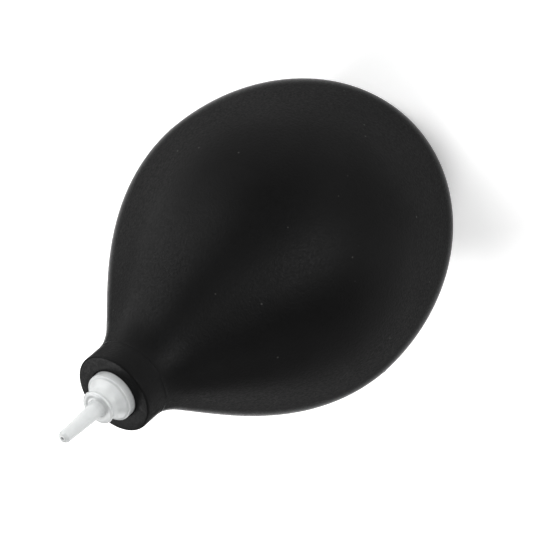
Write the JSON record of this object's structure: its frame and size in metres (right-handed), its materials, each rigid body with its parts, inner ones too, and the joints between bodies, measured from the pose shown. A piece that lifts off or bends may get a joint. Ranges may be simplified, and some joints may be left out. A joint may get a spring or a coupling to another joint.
{
  "type": "dust blower bulb",
  "caption": "Pear-shaped rubber air bulb with a thick neck, a fine white blowing nozzle and an inlet check valve in its flat base; squeezed by hand to blow dust off small parts.",
  "frame": {"origin": "centre of the flat base, at the lowest point of the bulb", "axes": "+Z along the bulb's axis towards the nozzle; the two squeeze walls face -Y (thumb) and +Y (fingers); the mould's parting plane is XZ"},
  "size_m": [0.058, 0.058, 0.0942],
  "materials": {
    "bulb_rubber": "matte, finely speckled moulded rubber",
    "nozzle_plastic": "satin, slightly translucent moulded plastic",
    "valve_plastic": "satin moulded plastic",
    "flap_silicone": "smooth translucent silicone"
  },
  "bodies": {
    "bulb": {"bulb_shell": "bulb_rubber", "valve_seat": "valve_plastic"},
    "thumb_side": {"thumb_wall": "bulb_rubber"},
    "finger_side": {"finger_wall": "bulb_rubber"},
    "nozzle": {"nozzle": "nozzle_plastic"},
    "flap": {"valve_flap": "flap_silicone"}
  },
  "joints": [
    {"name": "thumb_squeeze", "type": "slide", "parent": "bulb", "child": "thumb_side", "axis": [0, 1, 0], "range_m": [0, 0.014], "stiffness_N_per_m": 900},
    {"name": "finger_squeeze", "type": "slide", "parent": "bulb", "child": "finger_side", "axis": [0, -1, 0], "range_m": [0, 0.01], "stiffness_N_per_m": 900},
    {"name": "nozzle_pull", "type": "slide", "parent": "bulb", "child": "nozzle", "axis": [0, 0, 1], "range_m": [0, 0.011]},
    {"name": "flap_lift", "type": "slide", "parent": "bulb", "child": "flap", "axis": [0, 0, 1], "range_m": [0, 0.0008], "stiffness_N_per_m": 15}
  ],
  "couplings": [
    {"joint": "finger_squeeze", "follows": "thumb_squeeze", "ratio": 0.7}
  ]
}
